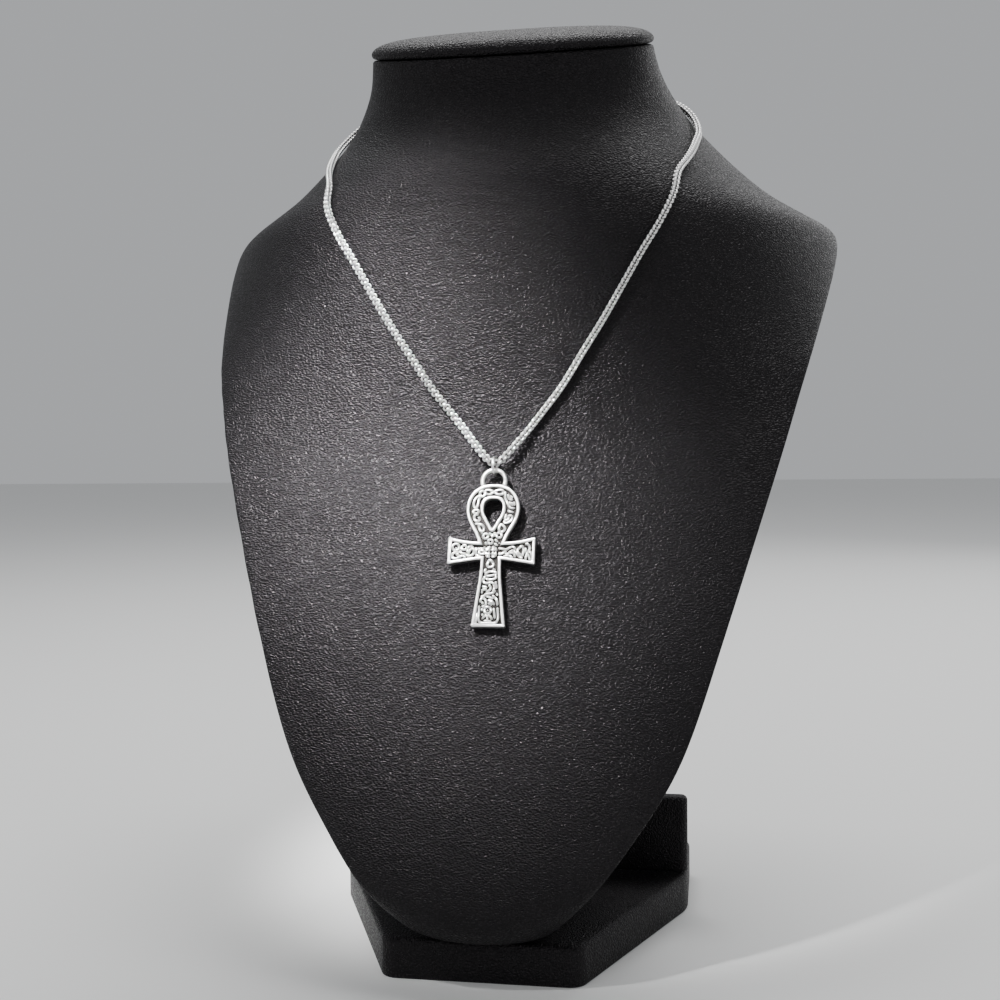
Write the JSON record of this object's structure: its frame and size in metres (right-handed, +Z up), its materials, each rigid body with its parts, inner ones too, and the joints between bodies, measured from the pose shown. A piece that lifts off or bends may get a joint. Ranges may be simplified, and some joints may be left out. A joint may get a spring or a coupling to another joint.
{
  "type": "ankh pendant necklace on a neck bust",
  "caption": "Cast silver ankh with knotwork relief, hung by a jump ring on a box chain necklace worn by a black leatherette neck bust on a low base.",
  "frame": {"origin": "centre of the bounding box at the base's underside", "axes": "+Z up, the bust's front faces -Y, +X to the viewer's right"},
  "size_m": [0.225, 0.1531, 0.3071],
  "materials": {
    "leather": "black leatherette, fine grain, satin",
    "silver": "polished antique silver with dark recesses"
  },
  "bodies": {
    "bust_and_chain": {"bust": "leather", "neck_cap": "leather", "stand_base": "leather", "stand_riser": "leather", "chain": "silver", "clasp": "silver"},
    "jump_ring": {"jump_ring": "silver"},
    "ankh": {"ankh": "silver"}
  },
  "joints": [
    {"name": "pendant_swing", "type": "hinge", "parent": "bust_and_chain", "child": "jump_ring", "pos_m": [0.0016, -0.03547, 0.15259], "axis": [-1, 0, 0], "range_deg": [0, 110]},
    {"name": "ankh_sway", "type": "hinge", "parent": "jump_ring", "child": "ankh", "pos_m": [0.0016, -0.03668, 0.14925], "axis": [0, -0.9405, 0.3397], "range_deg": [-25, 25]}
  ]
}
